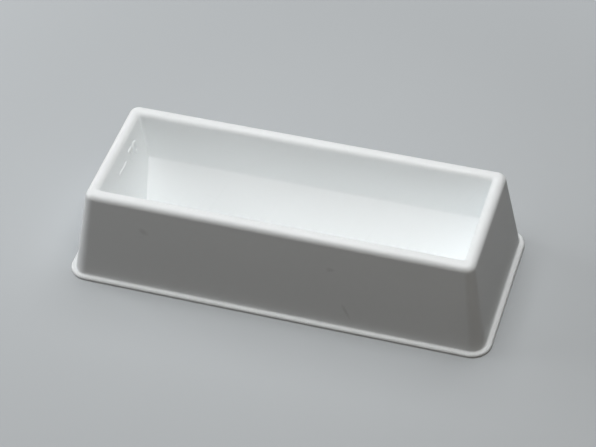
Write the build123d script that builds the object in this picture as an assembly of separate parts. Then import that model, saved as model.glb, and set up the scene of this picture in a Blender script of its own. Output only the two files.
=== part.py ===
from build123d import *
import os
from math import acos, atan2, cos, degrees, hypot, radians, sin, tan

# A reagent reservoir: the open trough that a row of pipette tips is dipped into. It is one
# piece of formed white plastic of even thickness. The basin hangs from a narrow rounded
# rim: steep walls down to a shoulder, then two slopes that meet in a rounded trough, so
# that the last of the liquid gathers in one line. The skirt flares from the same rim down
# to the surface it stands on, where the sheet turns outwards into a thin foot. The space
# below the basin is open.
#
# Millimetres. +X runs along the trough, +Y across it and +Z up. The origin is the middle of
# the foot, on the surface that the reservoir stands on.

# Overall sizes. The rim is measured outside, as if its edges were sharp.
HEIGHT = 33.0
RIM_LENGTH = 130.3
RIM_WIDTH = 47.2
WALL = 1.2

# Rim: the band between the outside of the skirt and the inside of the basin
RIM_SIDE_BAND = 4.2
RIM_END_BAND = 3.6
RIM_OUTER_ROUND = 2.2
RIM_INNER_ROUND = 1.85

# Skirt, with the slope of its walls in degrees off upright
SKIRT_DRAFT = 9.3
SKIRT_CORNER_AT_RIM = 3.1
SKIRT_CORNER_AT_FOOT = 4.7

# Foot
FOOT_SIDE_LEDGE = 1.35
FOOT_END_LEDGE = 1.75
FOOT_CORNER = 6.8
FOOT_BEND = 0.5
FOOT_EDGE_ROUND = 0.8

# Basin, with the slope of its side and end walls in degrees off upright
BASIN_DRAFT = 9.3
BASIN_END_DRAFT = 11.0
BASIN_CORNER = 0.6
SHOULDER_DROP = 16.3
SHOULDER_BEND = 1.5
TROUGH_ROUND = 8.3
TROUGH_CLEARANCE = 2.0

# Least width of flat left between two rounds that share a face
LEAST_FLAT = 0.1

# Fill mark on the basin's end wall: a low raised line, and beside it the number 70, which is
# how many millilitres the basin holds up to that line
MARK_DROP = 6.9
MARK_RELIEF = 0.35
MARK_SINK = 0.5
MARK_STROKE = 1.2
MARK_ROUND = 0.45
MARK_LINE_START = -4.2
MARK_LINE_LENGTH = 5.9
MARK_NUMBER_GAP = 3.9
DIGIT_HEIGHT = 3.6
DIGIT_WIDTH = 2.0
DIGIT_GAP = 1.5
SEVEN_FOOT = 0.7

SKIRT_SLOPE = tan(radians(SKIRT_DRAFT))
BASIN_SLOPE = tan(radians(BASIN_DRAFT))
BASIN_END_SLOPE = tan(radians(BASIN_END_DRAFT))
FLOOR_LEVEL = TROUGH_CLEARANCE + WALL
SHOULDER_LEVEL = HEIGHT - SHOULDER_DROP


def reach(size, draft):
    """How far a round between a level face and a wall of this draft goes along the face."""
    return size * tan(radians(90 - draft) / 2)


def share_of_room(room, first, second):
    """How much two rounds that share a face shrink where it has no room for both: 1 for none."""
    return min(1, (room - LEAST_FLAT) / (first + second))


def skirt_section(z, inset=0.0):
    """Rounded rectangle of the skirt at height z, moved inwards by inset square to the wall."""
    drop = HEIGHT - z
    grow = drop * SKIRT_SLOPE - inset / cos(radians(SKIRT_DRAFT))
    opened = (SKIRT_CORNER_AT_FOOT - SKIRT_CORNER_AT_RIM) * drop / HEIGHT
    corner = SKIRT_CORNER_AT_RIM + opened - inset
    return Pos(0, 0, z) * RectangleRounded(RIM_LENGTH + 2 * grow, RIM_WIDTH + 2 * grow, corner)


def level_face(shape, z):
    """The level face of a shape that lies nearest to height z."""
    return shape.faces().filter_by(Axis.Z).sort_by(lambda face: abs(face.center().Z - z))[0]


def outer_edges(shape, z):
    """The edges round the outside of a shape's flat face at height z."""
    return level_face(shape, z).outer_wire().edges()


def inner_edges(shape, z):
    """The edges round the hole in a shape's flat face at height z."""
    return level_face(shape, z).inner_wires()[0].edges()


def rim_rounds():
    """Sizes of the rim's outer and inner round, which share the band between them."""
    outer = reach(RIM_OUTER_ROUND, SKIRT_DRAFT)
    inner = reach(RIM_INNER_ROUND, BASIN_DRAFT)
    share = share_of_room(min(RIM_SIDE_BAND, RIM_END_BAND), outer, inner)
    return RIM_OUTER_ROUND * share, RIM_INNER_ROUND * share


def foot_rounds():
    """Sizes of the foot's bend and the round of its edge, which share the ledge."""
    bend = reach(FOOT_BEND, SKIRT_DRAFT)
    share = share_of_room(min(FOOT_SIDE_LEDGE, FOOT_END_LEDGE), bend, FOOT_EDGE_ROUND)
    return FOOT_BEND * share, min(FOOT_EDGE_ROUND * share, WALL - LEAST_FLAT)


def make_outside():
    """The outer form, filled: skirt, rounded top edge, and foot with its bend."""
    bend, edge_round = foot_rounds()
    skirt_foot = skirt_section(0).bounding_box().size
    foot_length = skirt_foot.X + 2 * FOOT_END_LEDGE
    foot_width = skirt_foot.Y + 2 * FOOT_SIDE_LEDGE
    foot = extrude(RectangleRounded(foot_length, foot_width, FOOT_CORNER), WALL)
    form = loft([skirt_section(0), skirt_section(HEIGHT)], ruled=True) + foot
    form = fillet(inner_edges(form, WALL), bend)
    form = fillet(outer_edges(form, WALL), edge_round)
    return fillet(outer_edges(form, HEIGHT), rim_rounds()[0])


def trough_section():
    """Section across the basin, looking along it: walls, shoulders, slopes and round."""
    top = RIM_WIDTH / 2 - RIM_SIDE_BAND
    shoulder = top - SHOULDER_DROP * BASIN_SLOPE
    centre = FLOOR_LEVEL + TROUGH_ROUND
    rise = SHOULDER_LEVEL - centre
    turn = atan2(rise, shoulder) - acos(TROUGH_ROUND / hypot(shoulder, rise))
    touch_y = TROUGH_ROUND * cos(turn)
    touch_z = centre + TROUGH_ROUND * sin(turn)
    right = Polyline((0, HEIGHT), (top, HEIGHT), (shoulder, SHOULDER_LEVEL), (touch_y, touch_z))
    left = mirror(right, Plane.YZ)
    bottom = ThreePointArc((touch_y, touch_z), (0, FLOOR_LEVEL), (-touch_y, touch_z))
    face = make_face(right + bottom + left)
    by_level = face.vertices().sort_by(lambda corner: abs(corner.Y - SHOULDER_LEVEL))
    return fillet(by_level[:2], SHOULDER_BEND)


def lengthwise_section(outset=0.0):
    """Section along the basin between its sloping ends, moved out square to them."""
    grow = outset / cos(radians(BASIN_END_DRAFT))
    top = RIM_LENGTH / 2 - RIM_END_BAND + grow
    foot = top - HEIGHT * BASIN_END_SLOPE
    over = top + HEIGHT * BASIN_END_SLOPE
    return Polygon((-foot, 0), (foot, 0), (over, 2 * HEIGHT), (-over, 2 * HEIGHT), align=None)


def make_basin(outset=0.0):
    """The space inside the basin, or with an outset the outside of its wall."""
    across = trough_section()
    if outset:
        across = offset(across, outset)
    run = extrude(Plane.YZ * across, RIM_LENGTH, both=True)
    ends = extrude(Plane.XZ * lengthwise_section(outset), RIM_WIDTH, both=True)
    basin = run & ends
    by_place = basin.faces().sort_by(Axis.X)
    round_ends = by_place[0].edges() + by_place[-1].edges()
    below_mouth = round_ends.filter_by(Axis.Y, reverse=True)
    return fillet(below_mouth, BASIN_CORNER + outset)


def make_underside():
    """The open space below: inside the skirt and round the outside of the basin."""
    top = HEIGHT - WALL
    outer_round, inner_round = rim_rounds()
    inside_skirt = loft([skirt_section(0, WALL), skirt_section(top, WALL)], ruled=True)
    inside_skirt = fillet(outer_edges(inside_skirt, top), outer_round - WALL)
    space = inside_skirt - make_basin(WALL)
    return fillet(inner_edges(space, top), inner_round - WALL)


def straight_stroke(start, end):
    """A round-ended stroke of the mark between two points."""
    run = end - start
    turn = Rot(0, 0, degrees(atan2(run.Y, run.X)))
    return Pos((start + end) / 2) * turn * SlotCenterToCenter(run.length, MARK_STROKE)


def digit_seven():
    """The number 7, standing on its own origin."""
    corner = Vector(DIGIT_WIDTH, DIGIT_HEIGHT)
    flag = straight_stroke(Vector(0, DIGIT_HEIGHT), corner)
    return flag + straight_stroke(corner, Vector(SEVEN_FOOT, 0))


def digit_nought():
    """The number 0, standing on its own origin."""
    run = DIGIT_HEIGHT - DIGIT_WIDTH
    outer = SlotCenterToCenter(run, DIGIT_WIDTH + MARK_STROKE)
    inner = SlotCenterToCenter(run, DIGIT_WIDTH - MARK_STROKE)
    return Pos(DIGIT_WIDTH / 2, DIGIT_HEIGHT / 2) * Rot(0, 0, 90) * (outer - inner)


def make_fill_mark():
    """Line and number, soft-edged and sunk in the end wall that they stand out from."""
    end = RIM_LENGTH / 2 - RIM_END_BAND - MARK_DROP * BASIN_END_SLOPE
    facing = (1, 0, BASIN_END_SLOPE)
    wall = Plane(origin=(-end, 0, HEIGHT - MARK_DROP), x_dir=(0, 1, 0), z_dir=facing)
    line_end = MARK_LINE_START + MARK_LINE_LENGTH
    first = line_end + MARK_NUMBER_GAP
    second = first + DIGIT_WIDTH + DIGIT_GAP
    mark = straight_stroke(Vector(MARK_LINE_START, 0), Vector(line_end, 0))
    mark += Pos(first, -DIGIT_HEIGHT / 2) * digit_seven()
    mark += Pos(second, -DIGIT_HEIGHT / 2) * digit_nought()
    raised = extrude(wall.offset(-MARK_SINK) * mark, MARK_SINK + MARK_RELIEF)
    fronts = raised.faces().group_by(Axis((0, 0, 0), facing))[-1]
    return fillet(fronts.edges(), MARK_ROUND)


def make_reservoir():
    """The whole moulding."""
    block = make_outside() - make_basin()
    block = fillet(inner_edges(block, HEIGHT), rim_rounds()[1])
    shell = block - make_underside()
    shell = fillet(inner_edges(shell, 0), foot_rounds()[0] + WALL)
    return shell + make_fill_mark()


os.makedirs("parts", exist_ok=True)
export_step(make_reservoir(), "parts/reservoir.step")
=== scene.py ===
"""Looks of the reagent reservoir: its white plastic, the floor it stands on, lamps and camera.

The reservoir is one moulding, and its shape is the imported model's own. This add-on gives that
shape its finish, and sets the stage that it is looked at on. Lengths are metres, +X runs along
the trough, the front is -Y, and the origin is the middle of the foot, on the floor.
"""

import bpy
from bpy.props import FloatProperty, FloatVectorProperty, PointerProperty
from math import cos, radians, sin
from mathutils import Matrix, Vector


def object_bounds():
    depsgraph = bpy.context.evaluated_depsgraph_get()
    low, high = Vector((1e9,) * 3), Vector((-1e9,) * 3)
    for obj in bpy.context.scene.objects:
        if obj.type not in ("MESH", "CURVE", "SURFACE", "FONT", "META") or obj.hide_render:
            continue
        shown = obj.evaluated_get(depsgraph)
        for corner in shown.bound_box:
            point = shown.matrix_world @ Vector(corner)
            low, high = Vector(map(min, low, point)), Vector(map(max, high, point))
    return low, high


bl_info = {
    "name": "Reagent Reservoir",
    "version": (1, 0, 0),
    "blender": (4, 5, 0),
    "location": "3D Viewport > Sidebar > Reservoir",
    "description": "Finishes a white reagent reservoir and sets its floor, lamps and camera",
    "category": "Material",
}

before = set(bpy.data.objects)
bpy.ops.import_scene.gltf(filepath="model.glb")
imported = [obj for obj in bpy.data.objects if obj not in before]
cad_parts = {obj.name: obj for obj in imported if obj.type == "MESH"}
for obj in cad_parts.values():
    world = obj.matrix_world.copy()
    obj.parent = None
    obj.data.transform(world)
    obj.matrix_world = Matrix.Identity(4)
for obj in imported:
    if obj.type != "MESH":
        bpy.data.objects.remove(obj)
CAD_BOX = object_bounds()
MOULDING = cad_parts["reservoir"]
LENGTH = CAD_BOX[1].x - CAD_BOX[0].x
MM = 0.001

# Cloudiness of the white: width of its patches, and how far it moves the gloss
CLOUD_SIZE = 22 * MM
CLOUD_GLOSS = 0.12

# Dull marks that handling has left on the front wall: middle, turn from level, length, width
RUBS = (
    (Vector((-44.6, -25.2, 23.0)) * MM, radians(25), 5.0 * MM, 3.0 * MM),
    (Vector((18.9, -25.3, 22.5)) * MM, radians(-5), 4.2 * MM, 2.4 * MM),
    (Vector((24.6, -27.6, 7.4)) * MM, radians(62), 8.0 * MM, 1.8 * MM),
)

# How far out from its middle each one is full, as a share of its size, how wide and how strong
# the ragged teeth of its edge are, and how far it dulls the gloss
RUB_CORE = 0.2
RUB_RAG_SIZE = 1.2 * MM
RUB_RAGGEDNESS = 0.8
RUB_GLOSS = 0.1

# Fine scratches: turns from level, length, width, where they start and end in the noise that
# draws them, and how far they move the white and the gloss
HAIRLINE_TURNS = (radians(12), radians(-57))
HAIRLINE_LENGTH = 14 * MM
HAIRLINE_WIDTH = 0.3 * MM
HAIRLINE_LOW = 0.76
HAIRLINE_HIGH = 0.82
HAIRLINE_TONE = 0.05
HAIRLINE_GLOSS = 0.2

PLASTIC_IOR = 1.49  # sets how strongly the skin shines

# The floor: a many-sided disc, a faint mottle, and where paper turns into even backdrop
FLOOR_SIDES = 96
FLOOR_RADIUS = 20 * LENGTH
MOTTLE_SIZE = 60 * MM
MOTTLE_TONE = 0.02
PAPER_END = 0.8 * LENGTH
BACKDROP_START = 2.2 * LENGTH

# Where each lamp stands, in degrees: how far round from the front towards +X, and how high
TOP_LAMP = (0, 88)
BACK_LAMP = (180, 68)
SIDE_LAMP = (270, 18)
FRONT_LAMP = (45, 45)
WHITE = (1, 1, 1)
NO_LIGHT = (0, 0, 0, 1)
SENSOR_WIDTH_MM = 36


# ---------------------------------------------------------------- sizes and colours to change


def colour_setting(name, description, default):
    """A colour that a user can change, in linear light."""
    return FloatVectorProperty(
        name=name, description=description, default=default, subtype="COLOR", min=0, max=1
    )


def place_setting(name, description, default):
    """A point that a user can move."""
    return FloatVectorProperty(
        name=name, description=description, default=default, subtype="TRANSLATION"
    )


def share_setting(name, description, default):
    """A number from 0 to 1."""
    return FloatProperty(
        name=name, description=description, default=default, subtype="FACTOR", min=0, max=1
    )


def length_setting(name, description, default):
    """A length."""
    return FloatProperty(
        name=name, description=description, default=default, subtype="DISTANCE", min=0
    )


def angle_setting(name, description, default):
    """An angle, given here in degrees."""
    return FloatProperty(
        name=name, description=description, default=radians(default), subtype="ANGLE"
    )


def power_setting(name, description, default):
    """A lamp's power in watts."""
    return FloatProperty(
        name=name, description=description, default=default, subtype="POWER", min=0
    )


class PlasticSettings(bpy.types.PropertyGroup):
    """The white plastic of the moulding."""

    colour: colour_setting(
        "Colour", "White of the plastic where it is clean", (0.949, 0.976, 0.984)
    )
    cloudiness: share_setting(
        "Cloudiness", "How much the white varies from place to place", 0.02
    )
    roughness: share_setting("Roughness", "Satin of the moulded skin", 0.45)
    grain_size: length_setting("Grain size", "Width of the skin's fine grain", 0.7 * MM)
    grain_depth: length_setting("Grain depth", "Depth of that grain", 0.004 * MM)
    wave_size: length_setting(
        "Wave size", "Width of the slow waves that cooling leaves in the walls", 26 * MM
    )
    wave_depth: length_setting("Wave depth", "Depth of those waves", 0.05 * MM)
    rubs: share_setting("Rubs", "How much light the marks of handling swallow", 0.12)
    hairlines: share_setting("Hairlines", "How plainly fine scratches show", 0.3)


class StudioSettings(bpy.types.PropertyGroup):
    """Floor, lamps and camera."""

    floor_colour: colour_setting(
        "Floor colour", "Colour of the floor and the backdrop as they are seen", (0.58, 0.61, 0.63)
    )
    floor_return: share_setting(
        "Floor return", "Share of the light that the floor throws back on the reservoir", 0.06
    )
    lamp_distance: length_setting("Lamp distance", "From each lamp to the reservoir", 0.5)
    lamp_size: length_setting("Lamp size", "Side of each square soft lamp", 0.36)
    top_power: power_setting("Top lamp", "Power of the lamp straight above", 1.09)
    back_power: power_setting("Back lamp", "Power of the high lamp behind", 0.79)
    side_power: power_setting("Side lamp", "Power of the low lamp at the left end", 1.09)
    front_power: power_setting("Front lamp", "Power of the lamp off the front corner", 0.163)
    front_colour: colour_setting(
        "Front lamp colour", "Warm tint of the lamp off the front corner", (1.0, 0.88, 0.73)
    )
    camera_azimuth: angle_setting(
        "Camera azimuth", "How far round the camera stands from the front, towards +X", 18.36
    )
    camera_elevation: angle_setting(
        "Camera elevation", "How far above the horizon the camera stands", 43.75
    )
    camera_roll: angle_setting(
        "Camera roll", "How far the camera is turned about the line it looks along", -2.06
    )
    camera_distance: length_setting(
        "Camera distance", "From the camera to the point it aims at", 0.7344
    )
    camera_aim: place_setting(
        "Camera aim", "The point that the camera aims at", (-0.0021, 0.0071, 0.0078)
    )
    camera_lens: FloatProperty(
        name="Camera lens",
        description="Focal length",
        default=131.7,
        subtype="DISTANCE_CAMERA",
    )


# ---------------------------------------------------------------- shader maths


class Socket:
    """One output of a shader node. Maths on sockets and numbers adds Math nodes to the tree."""

    def __init__(self, tree, output):
        self.tree = tree
        self.output = output

    def maths(self, operation, *values):
        """A Math node with this operation on these values."""
        inputs = dict(enumerate(values))
        return add_node(self.tree, "ShaderNodeMath", {"operation": operation}, inputs)

    def __add__(self, other):
        return self.maths("ADD", self, other)

    def __sub__(self, other):
        return self.maths("SUBTRACT", self, other)

    def __rsub__(self, other):
        return self.maths("SUBTRACT", other, self)

    def __mul__(self, other):
        return self.maths("MULTIPLY", self, other)

    __radd__ = __add__
    __rmul__ = __mul__


def add_node(tree, kind, settings, inputs, output=0):
    """Adds a node, with its settings set before its sockets, and returns one of its outputs."""
    made = tree.nodes.new(kind)
    for name, value in settings.items():
        setattr(made, name, value)
    for key, value in inputs.items():
        socket = made.inputs[key]
        if isinstance(value, Socket):
            tree.links.new(value.output, socket)
        else:
            socket.default_value = value
    return Socket(tree, made.outputs[output])


def end_in(shader, kind):
    """Ends a tree in this shader, with an output node of this kind."""
    made = shader.tree.nodes.new(kind)
    shader.tree.links.new(shader.output, made.inputs["Surface"])


def object_place(tree):
    """Where a point is in the object's own space."""
    return add_node(tree, "ShaderNodeTexCoord", {}, {}, "Object")


def cloud(tree, place, size, detail=2.0, roughness=0.5):
    """Soft noise, 0 to 1 about 0.5, whose patches are about as wide as size."""
    inputs = {"Vector": place, "Scale": 1 / size, "Detail": detail, "Roughness": roughness}
    return add_node(tree, "ShaderNodeTexNoise", {}, inputs)


def laid_out(tree, place, middle, turn, size):
    """Place measured from a middle, turned about the Y axis, in units of size."""
    inputs = {"Vector": place, "Location": middle, "Rotation": (0, turn, 0), "Scale": size}
    return add_node(tree, "ShaderNodeMapping", {"vector_type": "TEXTURE"}, inputs)


def step_up(value, low, high):
    """Smooth rise from 0 at low to 1 at high."""
    settings = {"interpolation_type": "SMOOTHSTEP"}
    inputs = {"Value": value, "From Min": low, "From Max": high}
    return add_node(value.tree, "ShaderNodeMapRange", settings, inputs)


def length_of(vector):
    """How long a vector is."""
    return add_node(
        vector.tree, "ShaderNodeVectorMath", {"operation": "LENGTH"}, {0: vector}, "Value"
    )


def shaded(tree, colour, tone):
    """A colour made lighter or darker by a tone about 1."""
    return add_node(
        tree, "ShaderNodeVectorMath", {"operation": "SCALE"}, {0: tuple(colour), "Scale": tone}
    )


# ---------------------------------------------------------------- the plastic


def rub_marks(tree, place):
    """1 in the middle of each rub on the front wall, with soft ragged edges, and 0 elsewhere."""
    ragged = (cloud(tree, place, RUB_RAG_SIZE, detail=3) - 0.5) * RUB_RAGGEDNESS
    marks = 0
    for middle, turn, length, width in RUBS:
        local = laid_out(tree, place, middle, turn, (length / 2, length / 2, width / 2))
        marks = marks + (1 - step_up(length_of(local) + ragged, RUB_CORE, 1))
    return marks


def hairline_marks(tree, place):
    """1 along fine scratches of two directions, and 0 between them: noise drawn out long."""
    size = (HAIRLINE_LENGTH, HAIRLINE_LENGTH, HAIRLINE_WIDTH)
    marks = 0
    for turn in HAIRLINE_TURNS:
        drawn_out = laid_out(tree, place, (0, 0, 0), turn, size)
        noise = cloud(tree, drawn_out, 1, detail=0)
        marks = marks + step_up(noise, HAIRLINE_LOW, HAIRLINE_HIGH)
    return marks


def white_plastic(settings):
    """Moulded white plastic: a satin skin with slow waves, fine grain, rubs and hairlines."""
    material = MOULDING.data.materials[0]
    material.use_nodes = True
    tree = material.node_tree
    tree.nodes.clear()
    place = object_place(tree)
    clouds = cloud(tree, place, CLOUD_SIZE, detail=3) - 0.5
    rubs = rub_marks(tree, place)
    hairlines = hairline_marks(tree, place) * settings.hairlines
    tone = 1 - clouds * (2 * settings.cloudiness)
    tone = tone - rubs * settings.rubs - hairlines * HAIRLINE_TONE
    roughness = settings.roughness + clouds * CLOUD_GLOSS
    roughness = roughness + rubs * RUB_GLOSS - hairlines * HAIRLINE_GLOSS
    grain = cloud(tree, place, settings.grain_size, detail=1) * settings.grain_depth
    waves = cloud(tree, place, settings.wave_size, detail=0) * settings.wave_depth
    height = grain + waves - hairlines * settings.grain_depth
    bumped = add_node(tree, "ShaderNodeBump", {}, {"Distance": 1, "Height": height})
    skin = add_node(
        tree,
        "ShaderNodeBsdfPrincipled",
        {},
        {
            "Base Color": shaded(tree, settings.colour, tone),
            "Roughness": roughness,
            "IOR": PLASTIC_IOR,
            "Normal": bumped,
        },
    )
    end_in(skin, "ShaderNodeOutputMaterial")


class RESERVOIR_OT_plastic(bpy.types.Operator):
    """Give the moulding its white plastic"""

    bl_idname = "reservoir.plastic"
    bl_label = "Finish the plastic"

    def execute(self, context):
        white_plastic(context.scene.reservoir_plastic)
        return {"FINISHED"}


# ---------------------------------------------------------------- the stage


def seen_directly(tree):
    """1 where a ray comes straight from the camera or off gloss, and 0 where it lights things."""
    path = tree.nodes.new("ShaderNodeLightPath")
    camera = Socket(tree, path.outputs["Is Camera Ray"])
    glossy = Socket(tree, path.outputs["Is Glossy Ray"])
    through = Socket(tree, path.outputs["Is Transmission Ray"])
    return camera.maths("MAXIMUM", camera.maths("MAXIMUM", camera, glossy), through)


def as_seen(tree, light, seen):
    """One colour for rays that light things, and another for rays that are seen."""
    inputs = {"Factor": seen_directly(tree), "A": light, "B": seen}
    return add_node(tree, "ShaderNodeMix", {"data_type": "RGBA"}, inputs, "Result")


def backdrop_colour(settings):
    """The floor's colour as a node takes it, with full cover."""
    return tuple(settings.floor_colour) + (1,)


def floor_paper(settings):
    """Matt pale paper with a faint mottle, which runs out into the even pale backdrop."""
    material = bpy.data.materials.new("floor_paper")
    material.use_nodes = True
    tree = material.node_tree
    tree.nodes.clear()
    place = object_place(tree)
    mottle = cloud(tree, place, MOTTLE_SIZE, detail=4) - 0.5
    pale = shaded(tree, settings.floor_colour, 1 + mottle * MOTTLE_TONE)
    dark = 3 * (settings.floor_return,) + (1,)
    paper_colour = as_seen(tree, dark, pale)
    paper = add_node(tree, "ShaderNodeBsdfDiffuse", {}, {"Color": paper_colour})
    glow_colour = as_seen(tree, NO_LIGHT, backdrop_colour(settings))
    glow = add_node(tree, "ShaderNodeEmission", {}, {"Color": glow_colour})
    far = step_up(length_of(place), PAPER_END, BACKDROP_START)
    floor = add_node(tree, "ShaderNodeMixShader", {}, {0: far, 1: paper, 2: glow})
    end_in(floor, "ShaderNodeOutputMaterial")
    return material


def make_floor(settings):
    """A flat round floor, many lengths of the reservoir wide."""
    bpy.ops.mesh.primitive_circle_add(
        vertices=FLOOR_SIDES, radius=FLOOR_RADIUS, fill_type="NGON"
    )
    floor = bpy.context.object
    floor.name = "floor"
    floor.data.materials.append(floor_paper(settings))


def direction(azimuth, elevation):
    """The way to a place round the reservoir: 0 is the front, and a quarter turn is +X."""
    level = cos(elevation)
    return Vector((sin(azimuth) * level, -cos(azimuth) * level, sin(elevation)))


def place_lamp(name, stand, power, settings, colour=WHITE):
    """A square soft lamp that faces the reservoir, and isn't itself in view."""
    data = bpy.data.lights.new(name, "AREA")
    data.shape = "SQUARE"
    data.size = settings.lamp_size
    data.energy = power
    data.color = colour
    lamp = bpy.data.objects.new(name, data)
    away = direction(*map(radians, stand))
    lamp.location = away * settings.lamp_distance
    lamp.rotation_euler = away.to_track_quat("Z", "Y").to_euler()
    lamp.visible_camera = False
    bpy.context.scene.collection.objects.link(lamp)


def make_lamps(settings):
    """Two soft lamps overhead, one low at the left end, and a weak warm one in front."""
    place_lamp("top_lamp", TOP_LAMP, settings.top_power, settings)
    place_lamp("back_lamp", BACK_LAMP, settings.back_power, settings)
    place_lamp("side_lamp", SIDE_LAMP, settings.side_power, settings)
    place_lamp("front_lamp", FRONT_LAMP, settings.front_power, settings, settings.front_colour)


def make_backdrop(settings):
    """A pale backdrop beyond the floor, which sends no light of its own to the reservoir."""
    world = bpy.data.worlds.new("backdrop")
    world.use_nodes = True
    tree = world.node_tree
    tree.nodes.clear()
    colour = as_seen(tree, NO_LIGHT, backdrop_colour(settings))
    light = add_node(tree, "ShaderNodeBackground", {}, {"Color": colour})
    end_in(light, "ShaderNodeOutputWorld")
    bpy.context.scene.world = world


def make_camera(settings):
    """A long lens that looks down on the front and the right end."""
    data = bpy.data.cameras.new("camera")
    data.sensor_width = SENSOR_WIDTH_MM
    data.lens = settings.camera_lens
    camera = bpy.data.objects.new("camera", data)
    away = direction(settings.camera_azimuth, settings.camera_elevation)
    place = Vector(settings.camera_aim) + away * settings.camera_distance
    upright = away.to_track_quat("Z", "Y").to_matrix().to_4x4()
    roll = Matrix.Rotation(settings.camera_roll, 4, "Z")
    camera.matrix_world = Matrix.Translation(place) @ upright @ roll
    bpy.context.scene.collection.objects.link(camera)
    bpy.context.scene.camera = camera


class RESERVOIR_OT_stage(bpy.types.Operator):
    """Set the floor, the lamps, the backdrop and the camera"""

    bl_idname = "reservoir.stage"
    bl_label = "Set the stage"

    def execute(self, context):
        settings = context.scene.reservoir_studio
        make_floor(settings)
        make_lamps(settings)
        make_backdrop(settings)
        make_camera(settings)
        context.scene.view_settings.view_transform = "Standard"
        return {"FINISHED"}


# ---------------------------------------------------------------- panel and registration


class RESERVOIR_PT_panel(bpy.types.Panel):
    """Lists the steps in the sidebar"""

    bl_label = "Reservoir"
    bl_idname = "RESERVOIR_PT_panel"
    bl_space_type = "VIEW_3D"
    bl_region_type = "UI"
    bl_category = "Reservoir"

    def draw(self, context):
        self.layout.operator(RESERVOIR_OT_plastic.bl_idname)
        self.layout.operator(RESERVOIR_OT_stage.bl_idname)


CLASSES = (
    PlasticSettings,
    StudioSettings,
    RESERVOIR_OT_plastic,
    RESERVOIR_OT_stage,
    RESERVOIR_PT_panel,
)


def register():
    """Adds the classes and their settings."""
    for made in CLASSES:
        bpy.utils.register_class(made)
    bpy.types.Scene.reservoir_plastic = PointerProperty(type=PlasticSettings)
    bpy.types.Scene.reservoir_studio = PointerProperty(type=StudioSettings)


def unregister():
    """Takes them away again."""
    del bpy.types.Scene.reservoir_studio
    del bpy.types.Scene.reservoir_plastic
    for made in reversed(CLASSES):
        bpy.utils.unregister_class(made)


def main():
    """Runs every step in order."""
    register()
    bpy.ops.reservoir.plastic()
    bpy.ops.reservoir.stage()


if __name__ == "__main__":
    main()
